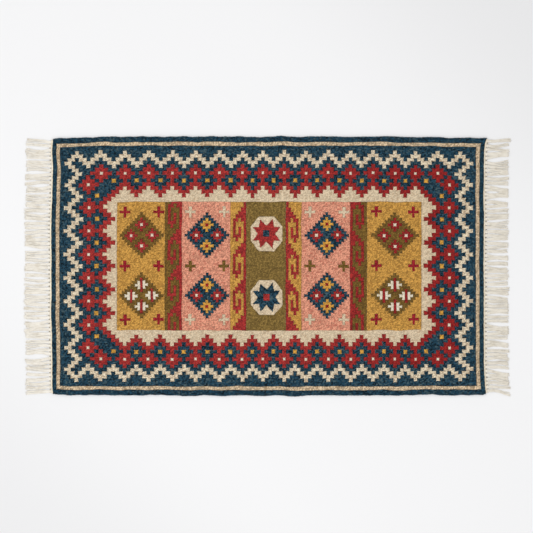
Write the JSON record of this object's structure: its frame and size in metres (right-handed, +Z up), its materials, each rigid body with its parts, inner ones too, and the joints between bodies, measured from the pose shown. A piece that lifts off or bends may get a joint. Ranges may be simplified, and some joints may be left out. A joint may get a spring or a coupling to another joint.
{
  "type": "area rug",
  "caption": "Rectangular flat-woven rug with nested geometric borders, a banded centre panel and knotted fringes on its short ends; folds at the middle.",
  "frame": {"origin": "centre of the rug's underside, which lies on the floor", "axes": "+X along the rug towards the right-hand fringe, +Y across it towards the back long edge, +Z up through the face"},
  "size_m": [1.7212, 0.91, 0.006],
  "materials": {
    "navy_wool": "matte hand-spun wool weft, heathered navy",
    "cream_wool": "matte hand-spun wool weft, undyed cream",
    "red_wool": "matte hand-spun wool weft, madder red",
    "mustard_wool": "matte hand-spun wool weft, mustard with paler picks",
    "olive_wool": "matte hand-spun wool weft, brown olive",
    "pink_wool": "matte hand-spun wool weft, mottled salmon pink",
    "cotton_warp": "plied cotton warp yarn",
    "cotton_twining": "twined cotton and wool cord, matte",
    "cotton_fringe": "loosely twisted cotton strands with frayed tips, matte"
  },
  "bodies": {
    "left_half": {"left_back_border_warps": "cotton_warp", "left_back_field_warps": "cotton_warp", "left_back_guard_stripe": "cream_wool", "left_back_inner_ground": "cream_wool", "left_back_main_border": "navy_wool", "left_back_outer_band": "navy_wool", "left_back_selvedge_warps": "cotton_warp", "left_end_band": "cotton_twining", "left_front_border_warps": "cotton_warp", "left_front_field_warps": "cotton_warp", "left_front_guard_stripe": "cream_wool", "left_front_inner_ground": "cream_wool", "left_front_main_border": "navy_wool", "left_front_outer_band": "navy_wool", "left_front_selvedge_warps": "cotton_warp", "left_guard_stripe": "cream_wool", "left_inner_ground": "cream_wool", "left_inner_hook_band": "mustard_wool", "left_main_border": "navy_wool", "left_mustard_panel": "mustard_wool", "left_olive_panel": "olive_wool", "left_outer_band": "navy_wool", "left_outer_hook_band": "red_wool", "left_pink_panel": "pink_wool"},
    "right_half": {"right_back_border_warps": "cotton_warp", "right_back_field_warps": "cotton_warp", "right_back_guard_stripe": "cream_wool", "right_back_inner_ground": "cream_wool", "right_back_main_border": "navy_wool", "right_back_outer_band": "navy_wool", "right_back_selvedge_warps": "cotton_warp", "right_end_band": "cotton_twining", "right_front_border_warps": "cotton_warp", "right_front_field_warps": "cotton_warp", "right_front_guard_stripe": "cream_wool", "right_front_inner_ground": "cream_wool", "right_front_main_border": "navy_wool", "right_front_outer_band": "navy_wool", "right_front_selvedge_warps": "cotton_warp", "right_guard_stripe": "cream_wool", "right_inner_ground": "cream_wool", "right_inner_hook_band": "mustard_wool", "right_main_border": "navy_wool", "right_mustard_panel": "mustard_wool", "right_olive_panel": "olive_wool", "right_outer_band": "navy_wool", "right_outer_hook_band": "red_wool", "right_pink_panel": "pink_wool"},
    "left_fringe": {"left_fringe": "cotton_fringe"},
    "right_fringe": {"right_fringe": "cotton_fringe"}
  },
  "joints": [
    {"name": "centre_fold", "type": "hinge", "parent": "left_half", "child": "right_half", "pos_m": [0, 0, 0.01], "axis": [0, -1, 0], "range_deg": [0, 180]},
    {"name": "left_fringe_flop", "type": "hinge", "parent": "left_half", "child": "left_fringe", "pos_m": [-0.7653, 0, 0.0049], "axis": [0, 1, 0], "range_deg": [0, 180]},
    {"name": "right_fringe_flop", "type": "hinge", "parent": "right_half", "child": "right_fringe", "pos_m": [0.7653, 0, 0.0049], "axis": [0, -1, 0], "range_deg": [0, 180]}
  ]
}
